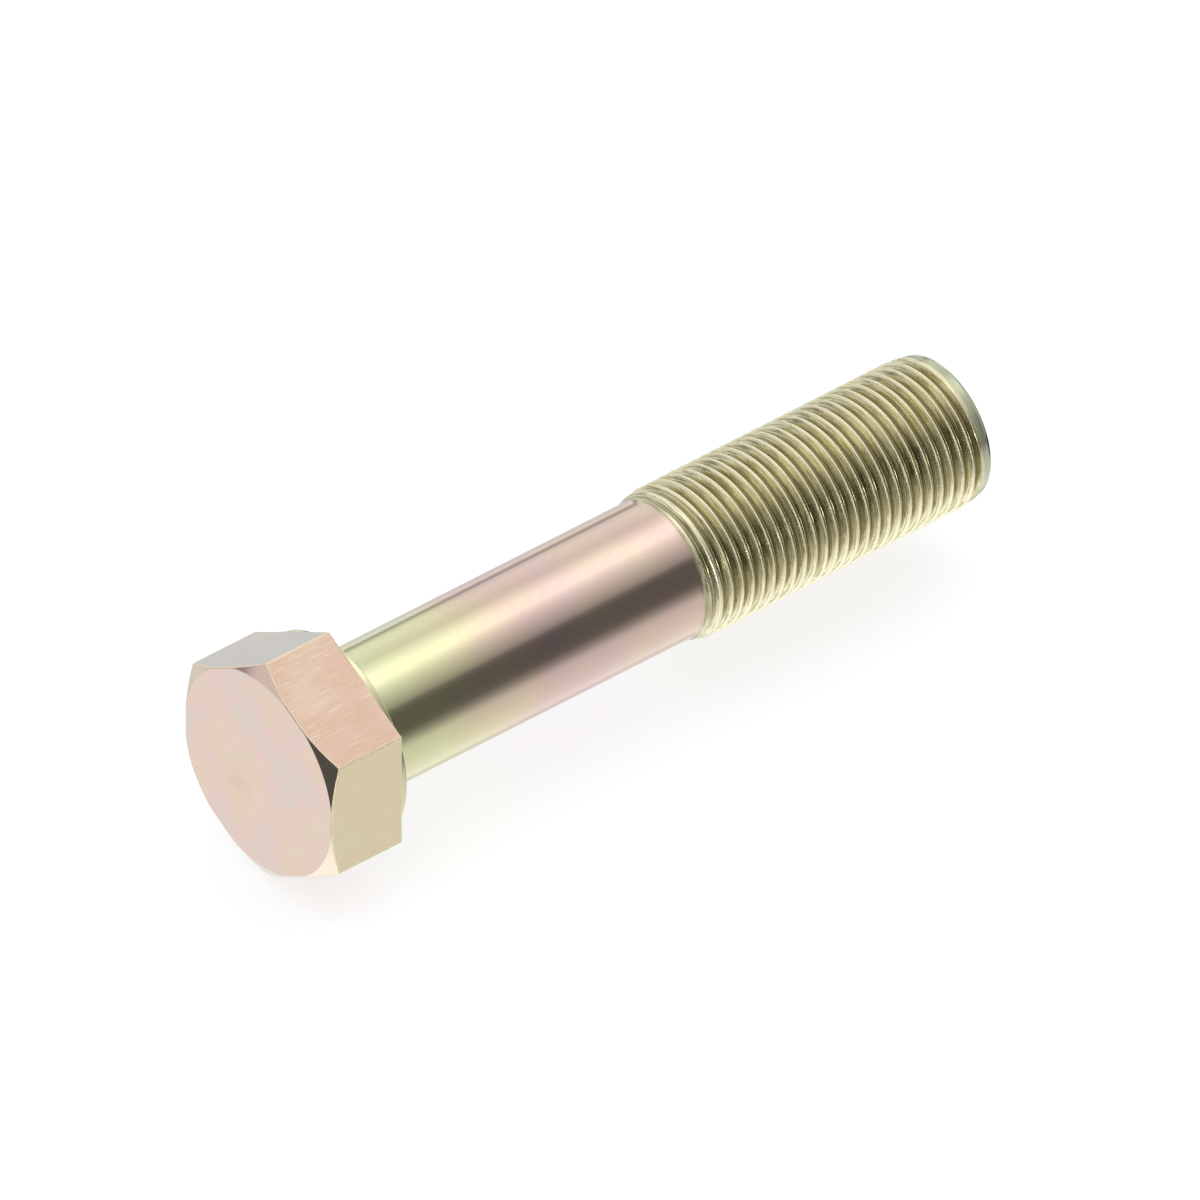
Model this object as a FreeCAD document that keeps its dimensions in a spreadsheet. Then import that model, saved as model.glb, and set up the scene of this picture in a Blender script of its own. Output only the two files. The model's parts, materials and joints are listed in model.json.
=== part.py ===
"""A partly threaded hex bolt with a fine-pitch thread and a washer face, in millimetres.

The bolt lies along +X, from its head to its tip, with a corner of the hexagon up, along +Z. The origin is the
centre of the bearing face, the ring under the head that presses on the joint.
"""
import FreeCAD, Part
import math
import os

import Sketcher

NODE = "hex_bolt"

# Driving dimensions: alias, value in mm or degrees, meaning.
DIMENSIONS = [
    ("across_flats", 33.4, "hexagon, flat to flat"),
    ("head_height", 14.5, "top of the head to the bearing face"),
    ("crown_angle", 30.0, "slope of the cone that cuts the hexagon's top corners"),
    ("hexagon_edge_round", 0.35, "rounding of the six long edges of the hexagon"),
    ("washer_diameter", 33.3, "raised washer face under the head"),
    ("washer_thickness", 1.0, "how far the washer face stands proud"),
    ("washer_edge_round", 0.25, "rounding of the washer face's rim"),
    ("underhead_round", 0.8, "fillet between bearing face and shank"),
    ("shank_diameter", 22.2, "plain shank, rolled to about the pitch diameter"),
    ("shoulder_start", 60.6, "bearing face to the start of the shoulder"),
    ("shoulder_angle", 14.6, "slope of the shoulder from shank to thread"),
    ("shoulder_round", 3.5, "blends at both ends of the shoulder"),
    ("thread_diameter", 24.0, "major diameter"),
    ("pitch", 2.0, "one turn of the thread"),
    ("groove_start", 60.8, "bearing face to the middle of the groove's first end"),
    ("groove_turns", 27, "whole turns of the groove, both ends included"),
    ("runout_length", 4.4, "over which the groove rises out of the metal at the shoulder"),
    ("runin_length", 1.8, "over which the groove sinks in at the tip"),
    ("bolt_length", 116.0, "bearing face to tip"),
    ("tip_taper_length", 3.8, "length of the conical tip"),
    ("tip_diameter", 22.8, "where the tip's cone would meet the end face"),
    ("tip_round", 0.8, "rounding between the tip's cone and the end face"),
]

doc = FreeCAD.newDocument("hex_bolt")
sheet = doc.addObject("Spreadsheet::Sheet", "dimensions")
for row, (alias, value, meaning) in enumerate(DIMENSIONS, start=1):
    sheet.set(f"A{row}", alias)
    sheet.set(f"B{row}", str(value))
    sheet.set(f"C{row}", meaning)
    sheet.setAlias(f"B{row}", alias)
doc.recompute()
size = {alias: float(sheet.get(alias)) for alias, _, _ in DIMENSIONS}


def origin_plane(body, role):
    return next(f for f in body.Origin.OriginFeatures if f.Role == role)


def new_sketch(body, name, role):
    sketch = body.newObject("Sketcher::SketchObject", name)
    sketch.AttachmentSupport = [(origin_plane(body, role), "")]
    sketch.MapMode = "FlatFace"
    return sketch


def constrain(sketch, expression, kind, *places):
    """Add a dimension to a sketch and bind it to the spreadsheet."""
    number = sketch.addConstraint(Sketcher.Constraint(kind, *places))
    sketch.setExpression(f"Constraints[{number}]", expression)


def line(sketch, start, end, construction=False):
    edge = Part.LineSegment(FreeCAD.Vector(*start, 0), FreeCAD.Vector(*end, 0))
    return sketch.addGeometry(edge, construction)


def close_chain(sketch, edges):
    """Join each edge's end to the start of the next, and the last to the first."""
    for edge, following in zip(edges, edges[1:] + edges[:1]):
        sketch.addConstraint(Sketcher.Constraint("Coincident", edge, 2, following, 1))


body = doc.addObject("PartDesign::Body", "blank")


# The hexagon: six equal sides with their corners on one circle, one corner up.
def draw_hexagon():
    sketch = new_sketch(body, "hexagon", "YZ_Plane")
    sketch.setExpression(".AttachmentOffset.Base.z", "-dimensions.washer_thickness")
    corner_radius = size["across_flats"] / math.sqrt(3)
    corners = []
    for k in range(6):
        angle = math.radians(90 + 60 * k)
        corners.append((corner_radius * math.cos(angle), corner_radius * math.sin(angle)))
    sides = [line(sketch, corners[k], corners[(k + 1) % 6]) for k in range(6)]
    circle = sketch.addGeometry(
        Part.Circle(FreeCAD.Vector(0, 0, 0), FreeCAD.Vector(0, 0, 1), corner_radius), True
    )
    close_chain(sketch, sides)
    sketch.addConstraint(Sketcher.Constraint("Coincident", circle, 3, -1, 1))
    for side in sides:
        sketch.addConstraint(Sketcher.Constraint("PointOnObject", side, 1, circle))
    for side in sides[1:]:
        sketch.addConstraint(Sketcher.Constraint("Equal", sides[0], side))
    sketch.addConstraint(Sketcher.Constraint("PointOnObject", sides[0], 1, -2))
    number = sketch.addConstraint(Sketcher.Constraint("Radius", circle, corner_radius))
    sketch.setExpression(f"Constraints[{number}]", "dimensions.across_flats / 2 / cos(30 deg)")
    return sketch


hexagon = draw_hexagon()
head = body.newObject("PartDesign::Pad", "head")
head.Profile = hexagon
head.Reversed = True
head.setExpression("Length", "dimensions.head_height - dimensions.washer_thickness")
doc.recompute()


def long_edges(feature):
    """The edges of a prism that run along X, by name."""
    names = []
    for number, edge in enumerate(feature.Shape.Edges, start=1):
        if abs(edge.tangentAt(edge.FirstParameter).x) > 0.999:
            names.append(f"Edge{number}")
    return names


rounded_head = body.newObject("PartDesign::Fillet", "rounded_head")
rounded_head.Base = (head, long_edges(head))
rounded_head.setExpression("Radius", "dimensions.hexagon_edge_round")
doc.recompute()


# The crown: a cone about the bolt's axis takes the hexagon's top corners off, down to the circle that just
# touches the middle of each flat.
def draw_crown():
    sketch = new_sketch(body, "crown_profile", "XZ_Plane")
    top = -size["head_height"]
    inner = size["across_flats"] / 2
    outer = size["across_flats"] * 0.65
    drop = (outer - inner) * math.tan(math.radians(size["crown_angle"]))
    corners = [(top, inner), (top, outer), (top + drop, outer)]
    sides = [line(sketch, corners[k], corners[(k + 1) % 3]) for k in range(3)]
    close_chain(sketch, sides)
    sketch.addConstraint(Sketcher.Constraint("Vertical", sides[0]))
    sketch.addConstraint(Sketcher.Constraint("Horizontal", sides[1]))
    constrain(sketch, "dimensions.head_height", "DistanceX", sides[0], 1, -1, 1, -top)
    constrain(sketch, "dimensions.across_flats / 2", "DistanceY", -1, 1, sides[0], 1, inner)
    constrain(sketch, "dimensions.across_flats * 0.65", "DistanceY", -1, 1, sides[0], 2, outer)
    constrain(
        sketch,
        "dimensions.across_flats * 0.15 * tan(dimensions.crown_angle * 1 deg)",
        "DistanceX", sides[1], 1, sides[1], 2, drop,
    )
    return sketch


crown_profile = draw_crown()
crown = body.newObject("PartDesign::Groove", "crown")
crown.Profile = crown_profile
crown.ReferenceAxis = (crown_profile, ["H_Axis"])
crown.Angle = 360
doc.recompute()
if not crown.Shape.Volume < rounded_head.Shape.Volume:
    raise RuntimeError("the crown's groove cut nothing")


# Washer face, shank, shoulder, thread cylinder and tip: one profile turned about the axis.
def arc(sketch, centre, radius, start, end):
    """An arc from start to end degrees, anticlockwise."""
    circle = Part.Circle(FreeCAD.Vector(*centre, 0), FreeCAD.Vector(0, 0, 1), radius)
    return sketch.addGeometry(Part.ArcOfCircle(circle, math.radians(start), math.radians(end)), False)


def draw_shank():
    sketch = new_sketch(body, "shank_profile", "XZ_Plane")
    washer, washer_round = size["washer_diameter"] / 2, size["washer_edge_round"]
    shank, fillet = size["shank_diameter"] / 2, size["underhead_round"]
    thread = size["thread_diameter"] / 2
    slope, blend = math.radians(size["shoulder_angle"]), size["shoulder_round"]
    start = size["shoulder_start"]
    blend_length, blend_rise = blend * math.sin(slope), blend * (1 - math.cos(slope))
    cone_length = (thread - shank - 2 * blend_rise) / math.tan(slope)
    shoulder_end = start + 2 * blend_length + cone_length
    end, taper, tip = size["bolt_length"], size["tip_taper_length"], size["tip_diameter"] / 2
    tip_angle = math.atan2(thread - tip, taper)
    tangent = size["tip_round"] * math.tan((math.pi / 2 - tip_angle) / 2)
    cone_end = (end - tangent * math.cos(tip_angle), tip + tangent * math.sin(tip_angle))
    face_radius = tip - tangent

    slope_deg, tip_deg = math.degrees(slope), math.degrees(tip_angle)
    back = -size["washer_thickness"]
    rim = washer - washer_round
    low_cone = (start + blend_length, shank + blend_rise)
    high_cone = (shoulder_end - blend_length, thread - blend_rise)
    centre_line = line(sketch, (end, 0), (back, 0))
    washer_back = line(sketch, (back, 0), (back, washer))
    washer_rim = line(sketch, (back, washer), (-washer_round, washer))
    rim_arc = arc(sketch, (-washer_round, rim), washer_round, 0, 90)
    bearing = line(sketch, (0, rim), (0, shank + fillet))
    fillet_arc = arc(sketch, (fillet, shank + fillet), fillet, 180, 270)
    plain = line(sketch, (fillet, shank), (start, shank))
    foot_arc = arc(sketch, (start, shank + blend), blend, 270, 270 + slope_deg)
    shoulder = line(sketch, low_cone, high_cone)
    top_arc = arc(sketch, (shoulder_end, thread - blend), blend, 90, 90 + slope_deg)
    crest = line(sketch, (shoulder_end, thread), (end - taper, thread))
    cone = line(sketch, (end - taper, thread), cone_end)
    tip_arc = arc(sketch, (end - size["tip_round"], face_radius), size["tip_round"], 0, 90 - tip_deg)
    face = line(sketch, (end, face_radius), (end, 0))

    def join(one, one_end, other, other_end):
        sketch.addConstraint(Sketcher.Constraint("Coincident", one, one_end, other, other_end))

    def smooth(one, one_end, other, other_end):
        sketch.addConstraint(Sketcher.Constraint("Tangent", one, one_end, other, other_end))

    join(centre_line, 2, washer_back, 1)
    join(washer_back, 2, washer_rim, 1)
    smooth(washer_rim, 2, rim_arc, 2)
    smooth(rim_arc, 1, bearing, 1)
    smooth(bearing, 2, fillet_arc, 1)
    smooth(fillet_arc, 2, plain, 1)
    smooth(plain, 2, foot_arc, 1)
    smooth(foot_arc, 2, shoulder, 1)
    smooth(shoulder, 2, top_arc, 2)
    smooth(top_arc, 1, crest, 1)
    join(crest, 2, cone, 1)
    smooth(cone, 2, tip_arc, 2)
    smooth(tip_arc, 1, face, 1)
    join(face, 2, centre_line, 1)
    for edge in (washer_back, bearing, face):
        sketch.addConstraint(Sketcher.Constraint("Vertical", edge))
    for edge in (washer_rim, plain, crest):
        sketch.addConstraint(Sketcher.Constraint("Horizontal", edge))
    for point in ((centre_line, 1), (centre_line, 2)):
        sketch.addConstraint(Sketcher.Constraint("PointOnObject", *point, -1))
    sketch.addConstraint(Sketcher.Constraint("PointOnObject", bearing, 1, -2))
    sketch.addConstraint(Sketcher.Constraint("Equal", foot_arc, top_arc))
    constrain(sketch, "dimensions.washer_thickness", "DistanceX", washer_back, 2, -1, 1, -back)
    constrain(sketch, "dimensions.washer_diameter / 2", "DistanceY", -1, 1, washer_back, 2, washer)
    constrain(sketch, "dimensions.washer_edge_round", "Radius", rim_arc, washer_round)
    constrain(sketch, "dimensions.underhead_round", "Radius", fillet_arc, fillet)
    constrain(sketch, "dimensions.shank_diameter / 2", "DistanceY", -1, 1, plain, 1, shank)
    constrain(sketch, "dimensions.shoulder_start", "DistanceX", -1, 1, plain, 2, start)
    constrain(sketch, "dimensions.shoulder_round", "Radius", foot_arc, blend)
    constrain(sketch, "dimensions.shoulder_angle * 1 deg", "Angle", -1, 1, shoulder, 1, slope)
    constrain(sketch, "dimensions.thread_diameter / 2", "DistanceY", -1, 1, crest, 1, thread)
    constrain(sketch, "dimensions.bolt_length - dimensions.tip_taper_length",
              "DistanceX", -1, 1, crest, 2, end - taper)
    constrain(sketch, "dimensions.bolt_length", "DistanceX", -1, 1, face, 2, end)
    constrain(sketch, "dimensions.tip_round", "Radius", tip_arc, size["tip_round"])
    constrain(
        sketch,
        "atan((dimensions.thread_diameter - dimensions.tip_diameter) / 2 / dimensions.tip_taper_length)",
        "Angle", cone, 2, centre_line, 1, tip_angle,
    )
    return sketch, shoulder_end


shank_profile, full_thread_start = draw_shank()
shank = body.newObject("PartDesign::Revolution", "shank")
shank.Profile = shank_profile
shank.ReferenceAxis = (shank_profile, ["H_Axis"])
shank.Angle = 360
doc.recompute()


# The thread: one V-shaped groove, right-handed, with 60 degrees between its flanks. Its cutter rises out of
# the metal at both ends, so that the groove fades into the shoulder and into the smooth rim of the tip. The
# cutter's faces are a turn long each, because longer ones are measured badly.
HALF_FLANK_ANGLE = math.radians(30)
RUNOUT_CURVE = 1.3  # the power of the distance with which the groove rises at the shoulder
POINTS_PER_TURN = 16


def shoulder_radius(x):
    """The blank's radius from the shank to the thread cylinder."""
    shank, thread = size["shank_diameter"] / 2, size["thread_diameter"] / 2
    slope, blend = math.radians(size["shoulder_angle"]), size["shoulder_round"]
    start, foot, rise = size["shoulder_start"], blend * math.sin(slope), blend * (1 - math.cos(slope))
    if x < start:
        return shank
    if x < start + foot:
        return shank + blend - math.sqrt(blend**2 - (x - start) ** 2)
    if x < full_thread_start - foot:
        return shank + rise + (x - start - foot) * math.tan(slope)
    if x < full_thread_start:
        return thread - blend + math.sqrt(blend**2 - (full_thread_start - x) ** 2)
    return thread


def helical_groove():
    pitch, crest = size["pitch"], size["thread_diameter"] / 2
    sharp_height = pitch / 2 / math.tan(HALF_FLANK_ANGLE)
    root = crest - 17 / 24 * sharp_height
    sharp_root = crest - 7 / 8 * sharp_height
    outside = crest + sharp_height / 14
    turns = int(size["groove_turns"])
    start = size["groove_start"]
    end = start + turns * pitch

    def lift(x):
        """How far the cutter is raised from its depth in the full thread, where its middle is at x."""
        into_runout = max(0, 1 - (x - start) / size["runout_length"])
        into_runin = max(0, 1 - (end - x) / size["runin_length"])
        sunk = crest - shoulder_radius(x)
        return (outside - root) * (into_runout**RUNOUT_CURVE + into_runin**2) - sunk

    def helix(radius, half_width):
        points = []
        for k in range(turns * POINTS_PER_TURN + 1):
            x = start + k * pitch / POINTS_PER_TURN
            angle = 2 * math.pi * x / pitch
            r = radius + lift(x)
            points.append(FreeCAD.Vector(x + half_width, r * math.cos(angle), r * math.sin(angle)))
        curve = Part.BSplineCurve()
        curve.interpolate(points)
        return curve

    def one_turn(curve, number):
        knots = curve.getKnots()
        piece = curve.copy()
        piece.segment(knots[number * POINTS_PER_TURN], knots[(number + 1) * POINTS_PER_TURN])
        return piece.toShape()

    root_half = (root - sharp_root) * math.tan(HALF_FLANK_ANGLE)
    top_half = (outside - sharp_root) * math.tan(HALF_FLANK_ANGLE)
    corners = [
        helix(root, -root_half), helix(root, root_half),
        helix(outside, top_half), helix(outside, -top_half),
    ]
    faces = []
    for number in range(turns):
        edges = [one_turn(curve, number) for curve in corners]
        faces += [Part.makeRuledSurface(edges[k], edges[(k + 1) % 4]) for k in range(4)]
    for parameter in ("FirstParameter", "LastParameter"):
        ring = [curve.value(getattr(curve, parameter)) for curve in corners]
        faces.append(Part.Face(Part.makePolygon(ring + ring[:1])))
    shell = Part.Shell(faces)
    shell.sewShape()
    return Part.Solid(Part.Shell(shell.Faces))


groove = doc.addObject("Part::Feature", "thread_groove")
groove.Shape = helical_groove()

bolt = doc.addObject("Part::Cut", NODE)
bolt.Base = body
bolt.Tool = groove
bolt.Label = NODE
bolt.Placement = FreeCAD.Placement()
doc.recompute()

# Nothing is written unless every object and the finished piece are sound.
for item in doc.Objects:
    if {"Invalid", "Error"} & set(item.State):
        raise RuntimeError(f"{item.Name} failed: {item.State}")
for sketch in (hexagon, crown_profile, shank_profile):
    if not sketch.FullyConstrained:
        raise RuntimeError(f"{sketch.Name} isn't fully constrained")
if bolt.Shape.isNull() or not bolt.Shape.isValid() or len(bolt.Shape.Solids) != 1:
    raise RuntimeError("the bolt isn't one valid solid")

# The groove's cross-section, less what lies outside the crest, times the length of its path at mid-depth.
depth = 17 / 24 * size["pitch"] / 2 / math.tan(HALF_FLANK_ANGLE)
removed = body.Shape.Volume - bolt.Shape.Volume
section = (size["pitch"] * 7 / 8 + size["pitch"] / 6) / 2 * depth
path = size["groove_turns"] * math.pi * (size["thread_diameter"] - depth)
if not 0.85 * section * path < removed < section * path:
    raise RuntimeError(f"the groove took away {removed:.0f} mm3 of about {section * path:.0f}")

os.makedirs("parts", exist_ok=True)
bolt.Shape.exportStep(f"parts/{bolt.Label}.step")
print(f"{bolt.Label}: {bolt.Shape.Volume:.0f} mm3, {len(bolt.Shape.Faces)} faces, groove {removed:.0f} mm3")
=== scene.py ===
"""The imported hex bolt, with rounded edges, rolled thread and yellow passivated finish, in a soft studio.

The bolt lies along +X from its head to its tip, a corner of the hexagon up. Lengths are in millimetres until
the mesh is made, and in metres in Blender. Angles round the bolt's axis go from +Y towards +Z.
"""
import json
import math

import bmesh
import bpy
import numpy as np
from mathutils import Matrix, Vector


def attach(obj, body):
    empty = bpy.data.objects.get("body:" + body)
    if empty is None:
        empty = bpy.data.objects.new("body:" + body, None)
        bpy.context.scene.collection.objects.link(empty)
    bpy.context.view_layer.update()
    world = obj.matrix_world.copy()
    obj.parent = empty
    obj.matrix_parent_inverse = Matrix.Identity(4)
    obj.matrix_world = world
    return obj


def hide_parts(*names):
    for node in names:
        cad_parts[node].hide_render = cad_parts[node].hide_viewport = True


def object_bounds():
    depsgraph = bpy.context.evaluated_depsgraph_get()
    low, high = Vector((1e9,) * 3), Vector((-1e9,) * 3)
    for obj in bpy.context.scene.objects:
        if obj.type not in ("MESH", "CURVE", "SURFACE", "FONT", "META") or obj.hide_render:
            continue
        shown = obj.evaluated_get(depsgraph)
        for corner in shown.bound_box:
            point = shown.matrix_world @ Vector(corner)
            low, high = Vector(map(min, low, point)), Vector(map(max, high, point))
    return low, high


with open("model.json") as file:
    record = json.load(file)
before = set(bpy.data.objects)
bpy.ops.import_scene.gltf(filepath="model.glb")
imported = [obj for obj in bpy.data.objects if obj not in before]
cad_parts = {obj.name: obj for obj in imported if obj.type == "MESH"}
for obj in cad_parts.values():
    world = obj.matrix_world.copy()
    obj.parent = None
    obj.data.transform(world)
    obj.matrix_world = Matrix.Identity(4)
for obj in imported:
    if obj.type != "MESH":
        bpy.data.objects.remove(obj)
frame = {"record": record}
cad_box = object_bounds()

MM = 0.001

# ------------------------------------------------ dimensions, in mm, from the frame where it has them
MOUNTS = {mount["name"]: mount for mount in frame["record"]["mounts"]}
low, high = (corner / MM for corner in cad_box)
HEAD_TOP = low.x
LENGTH = high.x
APOTHEM = high.y
THREAD_RADIUS = MOUNTS["thread"]["dims"]["r_mm"]
SHANK_RADIUS = MOUNTS["plain_shank"]["dims"]["r_mm"]

HEXAGON_EDGE_ROUND = 0.35
CROWN_ANGLE = math.radians(30)
CROWN_EDGE_ROUND = 0.32
WASHER_RADIUS = 16.65
WASHER_THICKNESS = 1.0
WASHER_EDGE_ROUND = 0.25
UNDERHEAD_ROUND = 0.8
SHOULDER_START = 60.6
SHOULDER_ANGLE = math.radians(14.6)
SHOULDER_ROUND = 3.5
PITCH = 2.0
GROOVE_START = 60.8
GROOVE_END = 114.8
RUNOUT_LENGTH = 4.4
RUNOUT_CURVE = 1.3
RUNIN_LENGTH = 1.8
TIP_TAPER_LENGTH = 3.8
TIP_RADIUS = 11.4
TIP_ROUND = 0.8
TAPER_BLEND = 0.05
CREST_ROUND = 0.07

HALF_FLANK_ANGLE = math.radians(30)
SHARP_HEIGHT = PITCH / 2 / math.tan(HALF_FLANK_ANGLE)
SHARP_ROOT = THREAD_RADIUS - 7 / 8 * SHARP_HEIGHT
ROOT_ROUND = SHARP_HEIGHT / 6
GROOVE_DEPTH = 17 / 24 * SHARP_HEIGHT
FULL_LIFT = GROOVE_DEPTH + SHARP_HEIGHT / 14
TIP_ANGLE = math.atan2(THREAD_RADIUS - TIP_RADIUS, TIP_TAPER_LENGTH)


# ------------------------------------------------ the columns: angles shared by every row of the skin
# Degrees from a corner of the hexagon to each column, from past its rounding to the flat's middle.
COLUMN_DEGREES = (0.8, 1.4, 2.6, 4.5, 7, 9.5, 12, 14.5, 17, 19.5, 22, 24.5, 27, 30)


def corner_half_angle():
    """Half the angle that a rounded corner of the hexagon takes up, seen from the axis."""
    return math.pi / 6 - math.atan((APOTHEM - HEXAGON_EDGE_ROUND) / APOTHEM * math.tan(math.pi / 6))


def column_angles():
    """One whole turn, its first angle repeated at the end: closest together at the hexagon's corners."""
    rounded = corner_half_angle()
    steps = [rounded * share for share in (0, 1 / 3, 2 / 3, 1)]
    steps += [math.radians(degrees) for degrees in COLUMN_DEGREES]
    sector = steps + [math.pi / 3 - step for step in steps[-2:0:-1]]
    angles = [math.pi / 6 + math.pi / 3 * k + step for k in range(6) for step in sector]
    return np.array(angles + [angles[0] + 2 * math.pi])


ANGLES = column_angles()


def hexagon_radius(angle):
    """From the axis to the side of the hexagon, its corners rounded."""
    from_corner = np.abs(angle % (math.pi / 3) - math.pi / 6)
    flat = APOTHEM / np.cos(math.pi / 6 - from_corner)
    centre = (APOTHEM - HEXAGON_EDGE_ROUND) / math.cos(math.pi / 6)
    inside = np.clip(HEXAGON_EDGE_ROUND**2 - (centre * np.sin(from_corner)) ** 2, 0, None)
    arc = centre * np.cos(from_corner) + np.sqrt(inside)
    return np.where(from_corner < corner_half_angle(), arc, flat)


# ------------------------------------------------ head, washer face and shank, row by row
def head_rows(angle):
    """Each row's x, radius, in-plane normal (along x, outwards) and edge marking, for each angle: rubbing,
    lightened also as a painted edge highlight.
    """
    rows = []
    full = np.ones_like(angle)

    def row(x, radius, slope, worn_and_highlit=0):
        """slope is the normal's direction: 0 towards the head's top, 90 outwards, 180 towards the tip."""
        rows.append((x * full, radius * full, -math.cos(slope) * full, math.sin(slope) * full, worn_and_highlit * full))

    def arc(x, radius, rounding, first, last, steps, hollow=False, worn_and_highlit=0, worn_and_highlit_ends=None):
        """Rows round a centre, from slope first to last, in degrees, with an edge marking given for its end
        rows alone.
        """
        reach = -rounding if hollow else rounding
        for k in range(steps + 1):
            slope = math.radians(first + (last - first) * k / steps)
            wear = worn_and_highlit_ends[k > 0] if worn_and_highlit_ends and k in (0, steps) else worn_and_highlit
            row(x - reach * math.cos(slope), radius + reach * math.sin(slope), slope, wear)

    hexagon = hexagon_radius(angle)
    corner = np.abs(angle % (math.pi / 3) - math.pi / 6) < 1.01 * corner_half_angle()
    cone = math.degrees(CROWN_ANGLE)
    outer = hexagon - CROWN_EDGE_ROUND
    inner = np.minimum(outer, APOTHEM - CROWN_EDGE_ROUND * math.tan(CROWN_ANGLE / 2))
    top = HEAD_TOP + CROWN_EDGE_ROUND
    for share in (0, 0.25, 0.5, 0.75, 0.93):
        row(HEAD_TOP, inner * share, 0)
    arc(top, inner, CROWN_EDGE_ROUND, 0, cone, 3)
    # The crown's edge and the corners are marked for rubbing, lightened also as a painted edge highlight.
    arc(top + (outer - inner) * math.tan(CROWN_ANGLE), outer, CROWN_EDGE_ROUND, cone, 90, 5,
        worn_and_highlit=1, worn_and_highlit_ends=(0, corner))
    row(HEAD_TOP / 2, hexagon, math.pi / 2, corner)
    # The edge under the hexagon and the corner inside it are rounded as far as the ledge leaves room.
    ledge = hexagon - WASHER_RADIUS
    under = np.clip(0.6 * (ledge - 0.02), 0.03, 0.3)
    arc(-WASHER_THICKNESS - under, hexagon - under, under, 90, 180, 5, worn_and_highlit=corner, worn_and_highlit_ends=(corner, 0))
    inside = np.minimum(0.15, 0.4 * (ledge - under) + 0.002)
    arc(-WASHER_THICKNESS + inside, WASHER_RADIUS + inside, inside, 180, 90, 3, hollow=True)
    arc(-WASHER_EDGE_ROUND, WASHER_RADIUS - WASHER_EDGE_ROUND, WASHER_EDGE_ROUND, 90, 180, 4)
    arc(UNDERHEAD_ROUND, SHANK_RADIUS + UNDERHEAD_ROUND, UNDERHEAD_ROUND, 180, 90, 6, hollow=True)
    for share in (0.25, 0.5, 0.75, 1):
        row(UNDERHEAD_ROUND + (SHOULDER_START - UNDERHEAD_ROUND) * share, SHANK_RADIUS, math.pi / 2)
    return np.array(rows).swapaxes(0, 1)


def tip_rows(angle):
    """The rounding at the tip and the end face, as in head_rows; its first row is where the cone ends."""
    full = np.ones_like(angle)
    rows = []
    tangent = TIP_ROUND * math.tan((math.pi / 2 - TIP_ANGLE) / 2)
    face = TIP_RADIUS - tangent
    steps = 6
    for k in range(steps + 1):
        slope = TIP_ANGLE + (math.pi / 2 - TIP_ANGLE) * k / steps
        x = LENGTH - TIP_ROUND + TIP_ROUND * math.sin(slope)
        radius = face + TIP_ROUND * math.cos(slope)
        rows.append((x * full, radius * full, math.sin(slope) * full, math.cos(slope) * full, 0 * full))
    for share in (0.8, 0.55, 0.3, 0):
        rows.append((LENGTH * full, face * share * full, full, 0 * full, 0 * full))
    return np.array(rows).swapaxes(0, 1)


def turned(rows_at, angle):
    """Points, normals and edge marking, rubbing and painted edge highlight, of rows round the axis. The
    normals allow for rows that vary on the way.
    """
    step = 1e-5
    x, radius, along, outwards, worn_and_highlit = rows_at(angle)
    before, after = rows_at(angle - step), rows_at(angle + step)
    x_change, radius_change = ((after[k] - before[k]) / (2 * step) for k in (0, 1))
    safe = np.maximum(radius, 1e-6)
    across = np.where(radius < 1e-6, 0, -(along * x_change + outwards * radius_change) / safe)
    return cartesian(x, radius, angle), unit(along, outwards, across, angle), worn_and_highlit


def cartesian(x, radius, angle):
    return np.stack([x, radius * np.cos(angle), radius * np.sin(angle)], axis=-1)


def unit(along, outwards, across, angle):
    """A unit vector from its parts along the axis, outwards and round the axis."""
    y = outwards * np.cos(angle) - across * np.sin(angle)
    z = outwards * np.sin(angle) + across * np.cos(angle)
    vector = np.stack([along + 0 * y, y, z], axis=-1)
    return vector / np.linalg.norm(vector, axis=-1, keepdims=True)


# ------------------------------------------------ thread, between the shoulder and the tip's rounding
def smooth_min(one, other, width):
    overlap = np.maximum(width - np.abs(one - other), 0)
    return np.minimum(one, other) - overlap**2 / (4 * width)


def shoulder_radius(x):
    """Shank, shoulder and thread cylinder, before the thread is cut."""
    foot = SHOULDER_ROUND * math.sin(SHOULDER_ANGLE)
    rise = SHOULDER_ROUND * (1 - math.cos(SHOULDER_ANGLE))
    cone = (THREAD_RADIUS - SHANK_RADIUS - 2 * rise) / math.tan(SHOULDER_ANGLE)
    end = SHOULDER_START + 2 * foot + cone

    def falls_away(distance):
        return SHOULDER_ROUND - np.sqrt(np.clip(SHOULDER_ROUND**2 - distance**2, 0, None))

    low_arc = SHANK_RADIUS + falls_away(x - SHOULDER_START)
    high_arc = THREAD_RADIUS - falls_away(x - end)
    slope = SHANK_RADIUS + rise + (x - SHOULDER_START - foot) * math.tan(SHOULDER_ANGLE)
    return np.select(
        [x < SHOULDER_START, x < SHOULDER_START + foot, x < end - foot, x < end],
        [SHANK_RADIUS, low_arc, slope, high_arc], THREAD_RADIUS,
    )


def blank_radius(x):
    """The same with the tip's cone."""
    taper = THREAD_RADIUS - (x - LENGTH + TIP_TAPER_LENGTH) * math.tan(TIP_ANGLE)
    return smooth_min(shoulder_radius(x), taper, TAPER_BLEND)


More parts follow.
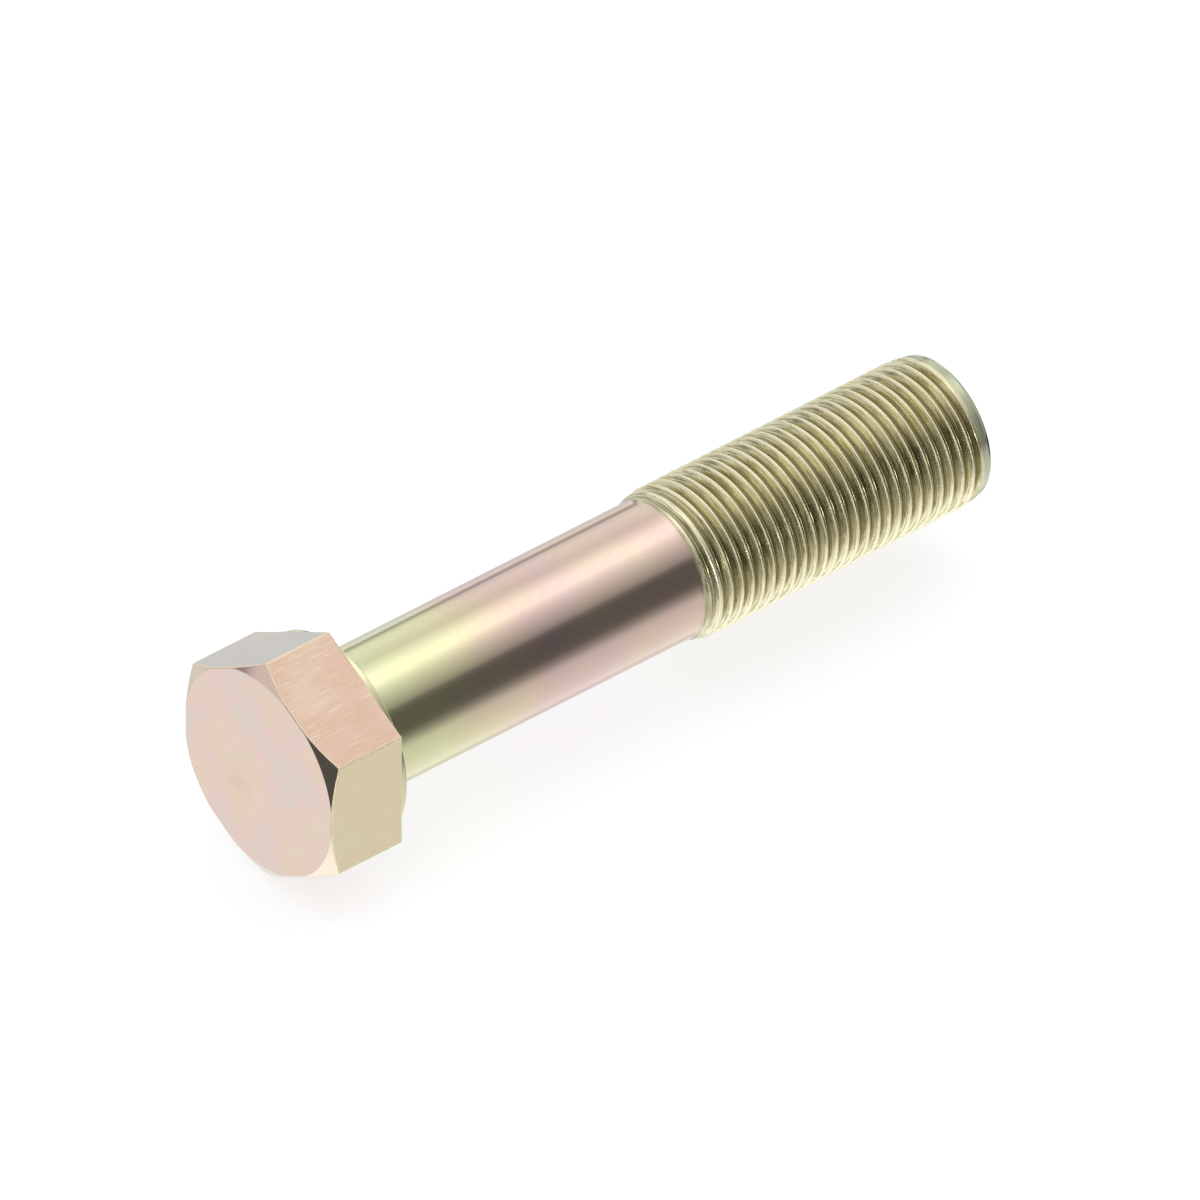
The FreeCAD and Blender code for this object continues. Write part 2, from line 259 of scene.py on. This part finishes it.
def groove_radius(offset, centre):
    """The V groove, its root rounded, at a distance along the axis from its middle, which is at centre."""
    into_runout = np.clip(1 - (centre - GROOVE_START) / RUNOUT_LENGTH, 0, 1)
    into_runin = np.clip(1 - (GROOVE_END - centre) / RUNIN_LENGTH, 0, None)
    flank = SHARP_ROOT + np.abs(offset) / math.tan(HALF_FLANK_ANGLE)
    bottom = SHARP_ROOT + 2 * ROOT_ROUND - np.sqrt(np.clip(ROOT_ROUND**2 - offset**2, 0, None))
    in_root = np.abs(offset) < ROOT_ROUND * math.cos(HALF_FLANK_ANGLE)
    shallow = shoulder_radius(centre) - THREAD_RADIUS + FULL_LIFT * into_runout**RUNOUT_CURVE
    return np.where(in_root, bottom, flank) + shallow + FULL_LIFT * into_runin**2


def thread_radius(x, angle):
    """The finished surface, from the shoulder to the tip."""
    turn = angle / (2 * math.pi)
    nearest = np.round(x / PITCH - turn)
    middles = [(nearest + k + turn) * PITCH for k in (-1, 0, 1)]
    grooves = [groove_radius(x - middle, middle) for middle in middles]
    return smooth_min(blank_radius(x), np.minimum.reduce(grooves), CREST_ROUND)


# Where rows run across one pitch, as shares of it from the middle of the groove: root, flank, crest.
HALF_PITCH_ROWS = (0.04, 0.08, 0.125, 0.22, 0.32, 0.405, 0.43, 0.455, 0.48)
PITCH_ROWS = [-share for share in reversed(HALF_PITCH_ROWS)] + [0] + list(HALF_PITCH_ROWS) + [0.5]


# ------------------------------------------------ one closed skin from all the rows
class Skin:
    def __init__(self):
        self.points, self.normals, self.wear, self.faces = [], [], [], []
        self.count = 0

    def add(self, points, normals, worn_and_highlit):
        """Stores a grid of points and returns their numbers in the same shape."""
        numbers = np.arange(self.count, self.count + points[..., 0].size).reshape(points.shape[:-1])
        self.points.append(points.reshape(-1, 3))
        self.normals.append(normals.reshape(-1, 3))
        self.wear.append(worn_and_highlit.reshape(-1))
        self.count += numbers.size
        return numbers

    def turned_rows(self, rows_at):
        """Adds rows round the axis. A row on the axis is one point, and rows that touch share points."""
        points, normals, worn_and_highlit = turned(rows_at, ANGLES[:-1])
        numbers = self.add(points, normals, worn_and_highlit)
        for k in range(len(numbers)):
            if np.ptp(points[k][:, 1:]) < 1e-6:
                numbers[k] = numbers[k][0]
            elif k:
                same = np.linalg.norm(points[k] - points[k - 1], axis=-1) < 1e-6
                numbers[k][same] = numbers[k - 1][same]
        return np.hstack([numbers, numbers[:, :1]])

    def thread(self, first_ring, last_ring, start, end):
        """Rows that follow the groove round the bolt, held at the rings where they would pass them.

        A point within the snap of a ring becomes the ring's own point, so that no sliver is left there.
        """
        rows = len(PITCH_ROWS)
        first_turn = math.floor(start / PITCH) - 2
        last_turn = math.ceil(end / PITCH) + 1
        turns = range(first_turn, last_turn + 1)
        offsets = [(turn + share) * PITCH for turn in turns for share in PITCH_ROWS]
        x = np.array(offsets)[:, None] + ANGLES[None, :] / (2 * math.pi) * PITCH
        snap = 0.02
        before, after = x < start + snap, x > end - snap
        held = np.clip(x, start, end)
        radius = thread_radius(held, ANGLES)
        points, normals = cartesian(held, radius, ANGLES), self.thread_normals(held, radius)
        numbers = self.add(points[:, :-1], normals[:, :-1], np.zeros_like(x[:, :-1]))
        numbers = np.hstack([numbers, np.zeros((len(numbers), 1), int)])
        numbers = np.where(before, first_ring, np.where(after, last_ring, numbers))
        numbers[:-rows, -1] = numbers[rows:, 0]
        return numbers

    @staticmethod
    def thread_normals(x, radius):
        step = 1e-4
        along = -(thread_radius(x + step, ANGLES) - thread_radius(x - step, ANGLES)) / (2 * step)
        across = -(thread_radius(x, ANGLES + step) - thread_radius(x, ANGLES - step)) / (2 * step) / radius
        return unit(along, np.ones_like(x), across, ANGLES)

    def fill(self, numbers):
        """Faces between the rows of a grid, whose points may coincide."""
        corners = [numbers[:-1, :-1], numbers[:-1, 1:], numbers[1:, 1:], numbers[1:, :-1]]
        quads = np.stack(corners, axis=-1).reshape(-1, 4)
        whole = np.all(quads != np.roll(quads, 1, axis=1), axis=1)
        whole &= (quads[:, 0] != quads[:, 2]) & (quads[:, 1] != quads[:, 3])
        self.faces += quads[whole].tolist()
        for quad in quads[~whole].tolist():
            face = [point for k, point in enumerate(quad) if point != quad[k - 1]]
            if len(set(face)) == 3:
                self.faces.append(list(dict.fromkeys(face)))

    def mesh(self, name):
        points, normals = np.concatenate(self.points) * MM, np.concatenate(self.normals)
        used = np.unique(np.concatenate([np.array(face) for face in self.faces]))
        place = np.full(self.count, -1)
        place[used] = np.arange(len(used))
        faces = [[int(place[point]) for point in face] for face in self.faces]
        mesh = bpy.data.meshes.new(name)
        mesh.from_pydata(points[used].tolist(), [], faces)
        mesh.shade_smooth()
        mesh.normals_split_custom_set_from_vertices(normals[used].tolist())
        # Edge marking for rubbing, used also for a painted edge highlight.
        wear = mesh.attributes.new("wear", "FLOAT", "POINT")
        wear.data.foreach_set("value", np.concatenate(self.wear)[used].astype(np.float32))
        mesh.update()
        return mesh


def bolt_mesh():
    skin = Skin()
    head = skin.turned_rows(head_rows)
    tip = skin.turned_rows(tip_rows)
    cone_end = tip_rows(ANGLES[:1])[0][0][0]
    skin.fill(head)
    skin.fill(skin.thread(head[-1], tip[0], SHOULDER_START, cone_end))
    skin.fill(tip)
    return skin.mesh("hex_bolt_skin")


# ------------------------------------------------ shader helpers
class Nodes:
    """Makes the nodes of one tree. A value given for an input is linked if it is a socket, or else set."""

    def __init__(self, tree):
        self.tree = tree
        tree.nodes.clear()

    def make(self, kind, inputs=(), output=0, **settings):
        node = self.tree.nodes.new("ShaderNode" + kind)
        for name, value in settings.items():
            setattr(node, name, value)
        for name, value in dict(inputs).items():
            if isinstance(value, bpy.types.NodeSocket):
                self.tree.links.new(value, node.inputs[name])
            else:
                node.inputs[name].default_value = value
        return node.outputs[output] if output is not None else node

    def math(self, operation, *values, clamp=False):
        return self.make("Math", enumerate(values), operation=operation, use_clamp=clamp)

    def product(self, *values):
        result = values[0]
        for value in values[1:]:
            result = self.math("MULTIPLY", result, value)
        return result

    def total(self, *values):
        result = values[0]
        for value in values[1:]:
            result = self.math("ADD", result, value)
        return result

    def swing(self, noise, width):
        """A noise moved to lie about 0 and made this wide."""
        return self.math("MULTIPLY", self.math("SUBTRACT", noise, 0.5), width)

    def blend(self, factor, one, other):
        """From one to other as factor goes from 0 to 1. A colour given as numbers is red, green and blue."""
        one, other = ((*colour, 1) if isinstance(colour, tuple) else colour for colour in (one, other))
        return self.make("Mix", {0: factor, 6: one, 7: other}, output=2, data_type="RGBA")

    def smooth(self, value, start, end, low_value=0.0, high_value=1.0):
        """A soft step from low_value to high_value as value goes from start to end."""
        inputs = {0: value, 1: start, 2: end, 3: low_value, 4: high_value}
        return self.make("MapRange", inputs, interpolation_type="SMOOTHSTEP")

    def band(self, value, middle, near, far):
        """1 where value is less than near from the middle, softly down to 0 where it is far from it."""
        distance = self.math("ABSOLUTE", self.math("SUBTRACT", value, middle))
        return self.smooth(distance, near, far, 1, 0)

    def ramp(self, factor, stops, interpolation="LINEAR"):
        """The colours at stops from 0 to 1, each a position with its red, green and blue."""
        node = self.make("ValToRGB", {0: factor}, output=None)
        ramp = node.color_ramp
        ramp.interpolation = interpolation
        while len(ramp.elements) < len(stops):
            ramp.elements.new(0.5)
        for element, (position, colour) in zip(ramp.elements, sorted(stops)):
            element.position = position
            element.color = (*colour, 1)
        return node.outputs[0]

    def noise(self, vector, scale, detail, roughness=0.5):
        inputs = {"Vector": vector, "Scale": scale, "Detail": detail, "Roughness": roughness}
        return self.make("TexNoise", inputs)

    def scaled(self, vector, scale):
        return self.make("Mapping", {"Vector": vector, "Scale": scale})


# ------------------------------------------------ finish: bright metal with a thin yellow passivation
# Reflectance of the film in its different thicknesses.
PINK = (0.64, 0.475, 0.41)
PALE_PINK = (0.66, 0.495, 0.44)
ROSE = (0.63, 0.43, 0.33)
STRAW = (0.64, 0.575, 0.375)
YELLOW = (0.64, 0.62, 0.40)
GREEN_GOLD = (0.63, 0.64, 0.385)
GREY_GREEN = (0.44, 0.47, 0.33)
CREAM = (0.70, 0.61, 0.49)
# The rolled lines' colour, also used for a painted shade line in the thread's root.
ROLLED_LINE_AND_ROOT_SHADE = (0.26, 0.235, 0.12)
DRAWN_LINE = (0.32, 0.29, 0.15)
# Where the film has gone, by scratching and rubbing; the lightened head edges and thread crests are also a
# painted highlight.
SCRATCHED = (0.80, 0.66, 0.49)
RUBBED_HEAD_AND_EDGE_HIGHLIGHT = (0.90, 0.80, 0.60)
RUBBED_CREST_AND_HIGHLIGHT = (0.88, 0.82, 0.53)

# Along the shank, from the head to SHANK_DRIFT mm from it.
SHANK_DRIFT = 62.0
SHANK_FILM = [
    (0.0, YELLOW), (0.13, GREEN_GOLD), (0.32, STRAW), (0.52, PINK), (0.62, (0.63, 0.47, 0.44)),
    (0.78, (0.64, 0.51, 0.40)), (0.9, (0.64, 0.475, 0.42)), (1.0, (0.64, 0.50, 0.405)),
]
# Up the groove, from its root to the crest: the film, darkened towards the root as painted shade, and how
# much of the rolled line's colour is over it, which at the root is painted shade too.
THREAD_FILM_AND_ROOT_SHADE = [
    (0.0, (0.22, 0.20, 0.11)), (0.10, (0.44, 0.41, 0.27)), (0.20, (0.66, 0.62, 0.44)),
    (0.5, (0.77, 0.725, 0.51)), (0.88, (0.80, 0.755, 0.54)), (1.0, (0.80, 0.755, 0.54)),
]
ROLLED_LINES_AND_ROOT_SHADE = [
    (0.0, 0.3), (0.10, 0.1), (0.18, 0.0), (0.30, 1.0), (0.42, 0.0), (0.58, 0.0), (0.72, 0.9), (0.84, 0.1),
    (0.92, 0.0),
]
# Round the head, as shares of a turn: each of the six flats has its own tint.
FLATS_FILM = [
    (0.0, STRAW), (1 / 12, (0.55, 0.525, 0.475)), (3 / 12, (0.60, 0.42, 0.32)),
    (5 / 12, (0.69, 0.60, 0.41)), (7 / 12, ROSE), (9 / 12, (0.62, 0.58, 0.44)), (11 / 12, STRAW),
]
# Where the upper front flat starts and ends on the same scale, both softly.
UPPER_FLAT_START = (0.249, 0.252)
UPPER_FLAT_END = (0.415, 0.418)
# The head's top, by the value of a noise.
TOP_FILM = [
    (0.32, (0.60, 0.515, 0.475)), (0.41, (0.62, 0.51, 0.455)), (0.47, (0.66, 0.50, 0.45)),
    (0.53, (0.64, 0.52, 0.43)), (0.60, (0.65, 0.505, 0.40)), (0.70, (0.63, 0.46, 0.41)),
]
RELIEF_HEIGHT = 0.004


class Surface:
    """Where a point of the bolt is, in mm, and the noises that several parts of the finish share."""

    def __init__(self, n):
        self.place = n.make("Mapping", {"Vector": n.make("TexCoord", output=3), "Scale": (1 / MM,) * 3})
        self.x, y, self.z = (n.make("SeparateXYZ", {0: self.place}, output=k) for k in range(3))
        self.radius = n.math("SQRT", n.total(n.product(y, y), n.product(self.z, self.z)))
        turn = n.math("DIVIDE", n.math("ARCTAN2", self.z, y), 2 * math.pi)
        self.turn = n.math("FRACT", n.total(turn, 1.0))
        # The x part of the normal: -1 on the head's top, 0 on the flats.
        self.facing = n.make("SeparateXYZ", {0: n.make("TexCoord", output=1)})

        self.clouds = n.noise(self.place, 0.075, 2.0)
        self.drifts = n.noise(n.scaled(self.place, (0.6, 1.0, 1.0)), 0.12, 3.0, 0.55)
        self.blotches = n.noise(self.place, 0.28, 4.0, 0.6)
        self.grain = n.noise(self.place, 3.2, 3.0, 0.6)
        self.fine = n.noise(self.place, 11.0, 2.0, 0.6)
        self.streaks = n.noise(n.scaled(self.place, (2.8, 0.15, 0.15)), 1.0, 3.0, 0.7)

        uneven_x = n.total(self.x, n.product(self.blotches, 0.6))
        self.in_thread = n.smooth(uneven_x, SHOULDER_START + 0.9, SHOULDER_START + 1.3)
        self.streaky = n.product(self.in_thread, n.smooth(self.x, LENGTH - 1.2, LENGTH - 2.0))
        self.end_face = n.smooth(self.x, LENGTH - 0.05, LENGTH - 0.01)


def shank_colour(n, at):
    """The film drifts along the shank, from green gold by the head to pink."""
    drift = n.total(at.x, n.swing(at.clouds, 26.0), n.swing(at.drifts, 18.0))
    return n.ramp(n.math("DIVIDE", drift, SHANK_DRIFT, clamp=True), SHANK_FILM)


def thread_colour(n, at):
    """Painted shade in the root, dark olive, the film pale up the flanks, with rolled and short drawn lines
    round the bolt and a painted shade line in the root.
    """
    height = n.smooth(at.radius, THREAD_RADIUS - GROOVE_DEPTH, THREAD_RADIUS)
    height = n.math("ADD", height, n.swing(at.grain, 0.12), clamp=True)
    # Dark lines up the groove; the one at the root is painted shade.
    rolled = n.ramp(height, [(share, (amount,) * 3) for share, amount in ROLLED_LINES_AND_ROOT_SHADE])
    patchy = n.smooth(n.noise(n.scaled(at.place, (1.0, 0.3, 0.3)), 1.0, 1.0), 0.35, 0.6, 0.25, 0.9)
    # The film darkens towards the root as painted shade.
    colour = n.blend(n.product(rolled, patchy), n.ramp(height, THREAD_FILM_AND_ROOT_SHADE), ROLLED_LINE_AND_ROOT_SHADE)
    drawn = n.product(n.smooth(at.streaks, 0.50, 0.45), n.smooth(height, 0.99, 0.85), 0.6)
    colour = n.blend(drawn, colour, DRAWN_LINE)
    return n.blend(n.smooth(at.x, LENGTH - 2.4, LENGTH - 1.2), colour, GREY_GREEN)


def head_colour(n, at):
    """The flats, the mottled top, the cone between them, and the washer face and the head's underside."""
    flats = n.ramp(at.turn, FLATS_FILM, "CONSTANT")
    flats = n.blend(n.smooth(at.drifts, 0.45, 0.7, 0, 0.3), flats, CREAM)
    top = n.ramp(n.noise(at.place, 0.085, 3.0, 0.5), TOP_FILM)
    cone = n.blend(n.smooth(at.z, 9.5, 14.0), CREAM, PALE_PINK)
    top = n.blend(n.smooth(at.facing, -0.97, -0.9), top, cone)
    head = n.blend(n.smooth(at.facing, -0.75, -0.35), top, flats)
    return n.blend(n.smooth(at.x, -1.2, -0.9), head, YELLOW)


def scratch_amount(n, at):
    """Scratches run along the bolt on the head's flats. The upper front flat has the most."""
    marks = n.noise(n.scaled(at.place, (0.2, 6.5, 6.5)), 1.0, 2.0, 0.6)
    patches = n.smooth(n.noise(at.place, 0.16, 1.0), 0.36, 0.56)
    upper = n.product(n.smooth(at.turn, *UPPER_FLAT_START), n.smooth(at.turn, *UPPER_FLAT_END, 1, 0))
    on_flats = n.product(n.smooth(at.x, -1.2, -1.0, 1, 0), n.smooth(at.facing, -0.5, -0.2))
    amount = n.product(on_flats, n.total(n.product(upper, 0.5), 0.06))
    return n.product(n.smooth(marks, 0.55, 0.68), patches, amount)


def rub_and_highlight_amount(n, at):
    """The head's edges, as marked on the mesh, and the thread's crests up to the tip's cone: rubbing of the
    film, lightened also as a painted highlight.
    """
    wear = n.make("Attribute", output=2, attribute_name="wear")
    # Thread crests lightened as rubbing and also as a painted highlight.
    crest = n.product(
        n.smooth(at.radius, THREAD_RADIUS - 0.025, THREAD_RADIUS - 0.008), at.in_thread,
        n.smooth(at.x, LENGTH - 3.4, LENGTH - 3.9),
    )
    rubbed_and_highlit = n.math("MAXIMUM", wear, n.product(crest, 0.6))
    return n.product(rubbed_and_highlit, n.smooth(at.grain, 0.2, 0.5, 0.7, 1))


def film_roughness(n, at, scratches, rubbed_and_highlit):
    """Near a mirror on the shank, matt on the rub marks of the edges and crests, whose lightening in colour
    is also a painted highlight.
    """
    scaly = n.smooth(n.total(n.product(at.streaks, 0.6), n.product(at.grain, 0.4)), 0.42, 0.56)
    roughness = n.total(
        0.09, n.product(at.blotches, 0.08), n.product(at.streaky, scaly, 0.22), n.product(scratches, 0.2),
        n.product(at.end_face, 0.2),
    )
    return n.math("ADD", roughness, n.product(rubbed_and_highlit, 0.6), clamp=True)


def film_relief(n, at, scratches):
    """Fine unevenness everywhere, streaks in the thread and turned rings on the end face."""
    rings = n.noise(n.make("CombineXYZ", {0: at.radius}), 3.0, 3.0, 0.6)
    return n.total(
        n.product(at.fine, n.total(0.2, n.product(at.in_thread, 0.4))), scratches,
        n.product(at.streaks, at.streaky, 3.0), n.product(rings, at.end_face, 3.0),
    )


def passivated_metal():
    material = bpy.data.materials.new("yellow_passivated_steel")
    material.use_nodes = True
    n = Nodes(material.node_tree)
    at = Surface(n)
    scratches, rubbed_and_highlit = scratch_amount(n, at), rub_and_highlight_amount(n, at)

    body = n.blend(at.in_thread, shank_colour(n, at), thread_colour(n, at))
    colour = n.blend(n.smooth(at.x, -0.2, 0.2), head_colour(n, at), body)
    colour = n.blend(scratches, colour, SCRATCHED)
    # Rubbed film on the head's edges and the thread's crests, lightened also as a painted highlight.
    bare_and_highlight = n.blend(at.in_thread, RUBBED_HEAD_AND_EDGE_HIGHLIGHT, RUBBED_CREST_AND_HIGHLIGHT)
    colour = n.blend(n.product(rubbed_and_highlit, 0.85), colour, bare_and_highlight)
    mottle = n.total(0.95, n.product(at.grain, 0.10))
    colour = n.make("VectorMath", {0: colour, "Scale": mottle}, operation="SCALE")

    roughness = film_roughness(n, at, scratches, rubbed_and_highlit)
    relief = film_relief(n, at, scratches)
    bump = n.make("Bump", {"Strength": 1.0, "Distance": RELIEF_HEIGHT * MM, "Height": relief})
    shader = n.make("BsdfPrincipled", {
        "Base Color": colour, "Metallic": 1.0, "Roughness": roughness, "Normal": bump,
    })
    n.make("OutputMaterial", {"Surface": shader}, output=None)
    return material


# ------------------------------------------------ studio
# Brightness round the bolt's axis, in degrees from the front horizon, up over the top and down to the back:
# a pale floor, a dark band behind the camera, a long strip light overhead and a bright wall behind.
STRIP_BRIGHTEST = 1.7
STUDIO = [
    (-180, 0.74), (-175, 1.12), (-165, 0.86), (-155, 0.78), (-140, 0.76), (-122, 1.08), (-109, 0.80),
    (-92, 1.24), (-76, 1.14), (-37, 0.92), (-27, 0.85), (-20, 0.64), (-12, 0.36), (-2, 0.18), (8, 0.15),
    (28, 0.15), (36, 0.20), (42, 0.46), (54, 0.70), (66, 0.96), (76, 1.26), (84, 1.6), (91, STRIP_BRIGHTEST),
    (98, 1.64), (105, 1.50), (116, 1.18), (126, 0.99), (150, 1.16), (164, 1.08), (170, 0.80), (175, 0.36),
    (180, 0.74),
]

# Past the head and past the tip the studio is another, by the x part of a direction.
PAST_HEAD = (-0.25, 0.1)
PAST_TIP = (0.7, 0.82)
# What stands there, by the z part: its middle, and how far from that it starts to fade and ends.
HEAD_CARD = (-0.1, 0.42, 0.56)
SKIRTING = (0.03, 0.02, 0.09)
TIP_CARD = (-0.32, 0.16, 0.24)
# By the y part: where its sides fade.
HEAD_CARD_FRONT = (-0.68, -0.5)
HEAD_CARD_BACK = (0.16, 0.34)
SKIRTING_FRONT = (0.6, 0.7)
TIP_CARD_BACK = (0.42, 0.5)

# A small lamp beside the camera, which glints on the thread's crests. Its rim and core are in degrees.
LAMP = (-0.449, -0.885, 0.125)
LAMP_RIM = 8.0
LAMP_CORE = 4.8
LAMP_BRIGHTNESS = 14.0

# The camera: degrees turned towards the head from square on to the bolt, and degrees raised above the level.
CAMERA_TURNED = 39.98
CAMERA_RAISED = 37.19
# Its view in mm, and how far right of the head's underside and above it the middle of the view is.
VIEW_WIDTH = 175.34
VIEW_RIGHT = 38.82
VIEW_UP = 19.58

FLOOR_GREY = (0.36,) * 3
FLOOR_GLOW = (0.72,) * 3

# In metres.
CAMERA_DISTANCE = 0.6
FLOOR_REACH = 3.0
WALL_RADIUS = 2.5


def studio_world():
    world = bpy.data.worlds.new("studio")
    world.use_nodes = True
    bpy.context.scene.world = world
    n = Nodes(world.node_tree)
    direction = n.make("TexCoord", output=0)
    x, y, z = (n.make("SeparateXYZ", {0: direction}, output=k) for k in range(3))
    round_axis = n.math("ARCTAN2", z, n.product(y, -1.0))
    share = n.total(n.math("DIVIDE", round_axis, 2 * math.pi), 0.5)
    stops = [((angle + 180) / 360, (bright / STRIP_BRIGHTEST,) * 3) for angle, bright in STUDIO]
    strip = n.make("VectorMath", {0: n.ramp(share, stops), "Scale": STRIP_BRIGHTEST}, operation="SCALE")

    # Past the head: a pale wall and a brighter floor, a dark card in front and a thin dark line at the back.
    head_card = n.product(
        n.band(z, *HEAD_CARD), n.smooth(y, *HEAD_CARD_BACK, 1, 0), n.smooth(y, *HEAD_CARD_FRONT),
    )
    skirting = n.product(n.band(z, *SKIRTING), n.smooth(y, *SKIRTING_FRONT, 0, 0.7))
    dark = n.math("MAXIMUM", head_card, skirting)
    pale = n.total(n.smooth(z, -0.6, -0.35, 1.2, 0.95), n.smooth(z, -0.9, -0.65, 0.25, 0))
    past_head = n.total(n.product(pale, n.math("SUBTRACT", 1.0, dark)), n.product(dark, 0.11))
    studio = n.blend(n.smooth(x, *PAST_HEAD), past_head, strip)

    # Past the tip: a pale wall with a dark card, and a brighter wall at the back.
    tip_card = n.product(n.band(z, *TIP_CARD), n.smooth(y, *TIP_CARD_BACK, 1, 0))
    past_tip = n.math("SUBTRACT", 0.85, n.product(tip_card, 0.80))
    past_tip = n.total(past_tip, n.smooth(y, 0.45, 0.6, 0, 0.8))
    studio = n.blend(n.smooth(x, *PAST_TIP), studio, past_tip)

    towards_lamp = n.make("VectorMath", {0: direction, 1: LAMP}, operation="DOT_PRODUCT", output=1)
    rim, core = (math.cos(math.radians(degrees)) for degrees in (LAMP_RIM, LAMP_CORE))
    lamp = n.smooth(towards_lamp, rim, core, 0, LAMP_BRIGHTNESS)
    studio = n.make("VectorMath", {0: studio, 1: lamp}, operation="ADD")
    background = n.make("Background", {"Color": studio, "Strength": 1.0})
    n.make("OutputWorld", {"Surface": background}, output=None)


def plain_material(name, colour, emission):
    material = bpy.data.materials.new(name)
    material.use_nodes = True
    shader = material.node_tree.nodes["Principled BSDF"]
    shader.inputs["Base Color"].default_value = (*colour, 1)
    shader.inputs["Roughness"].default_value = 0.9
    shader.inputs["Specular IOR Level"].default_value = 0.1
    shader.inputs["Emission Color"].default_value = (*emission, 1)
    shader.inputs["Emission Strength"].default_value = 1.0
    return material


def stage_object(name, mesh, material):
    piece = bpy.data.objects.new(name, mesh)
    bpy.context.collection.objects.link(piece)
    mesh.materials.append(material)
    piece.visible_glossy = False
    return piece


def floor():
    """A plain pale floor under the bolt's lowest corner, aglow almost to white, so its shadows are faint."""
    height = cad_box[0].z
    mesh = bpy.data.meshes.new("floor")
    sides = [(-1, -1), (1, -1), (1, 1), (-1, 1)]
    mesh.from_pydata([(x * FLOOR_REACH, y * FLOOR_REACH, height) for x, y in sides], [], [(0, 1, 2, 3)])
    stage_object("floor", mesh, plain_material("pale_floor", FLOOR_GREY, FLOOR_GLOW))


def backdrop():
    """A white wall all round, seen by the camera alone: the metal and the floor see the studio through it."""
    mesh = bpy.data.meshes.new("backdrop")
    form = bmesh.new()
    bmesh.ops.create_uvsphere(form, u_segments=48, v_segments=24, radius=WALL_RADIUS)
    bmesh.ops.reverse_faces(form, faces=form.faces)
    form.to_mesh(mesh)
    form.free()
    wall = stage_object("backdrop", mesh, plain_material("pale_wall", (0.0,) * 3, (1.0,) * 3))
    wall.visible_diffuse = False
    wall.visible_shadow = False
    wall.visible_transmission = False
    wall.visible_volume_scatter = False


def camera():
    """Looks down on the bolt from its head's side, with no perspective."""
    turned_by, raised_by = math.radians(CAMERA_TURNED), math.radians(CAMERA_RAISED)
    right = Vector((math.cos(turned_by), -math.sin(turned_by), 0))
    level = math.cos(raised_by)
    away = Vector((math.sin(turned_by) * level, math.cos(turned_by) * level, -math.sin(raised_by)))
    up = right.cross(away)
    data = bpy.data.cameras.new("camera")
    data.type = "ORTHO"
    data.ortho_scale = VIEW_WIDTH * MM
    eye = bpy.data.objects.new("camera", data)
    bpy.context.collection.objects.link(eye)
    place = right * VIEW_RIGHT * MM + up * VIEW_UP * MM - away * CAMERA_DISTANCE
    axes = Matrix((right, up, -away)).transposed().to_4x4()
    eye.matrix_world = Matrix.Translation(place) @ axes
    bpy.context.scene.camera = eye


# ------------------------------------------------ the piece
def bolt():
    mesh = bolt_mesh()
    mesh.materials.append(passivated_metal())
    piece = bpy.data.objects.new("hex_bolt_finished", mesh)
    bpy.context.collection.objects.link(piece)
    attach(piece, "root")
    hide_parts("hex_bolt")
    return piece


camera()
studio_world()
floor()
backdrop()
bolt()
bpy.context.scene.view_settings.view_transform = "Standard"
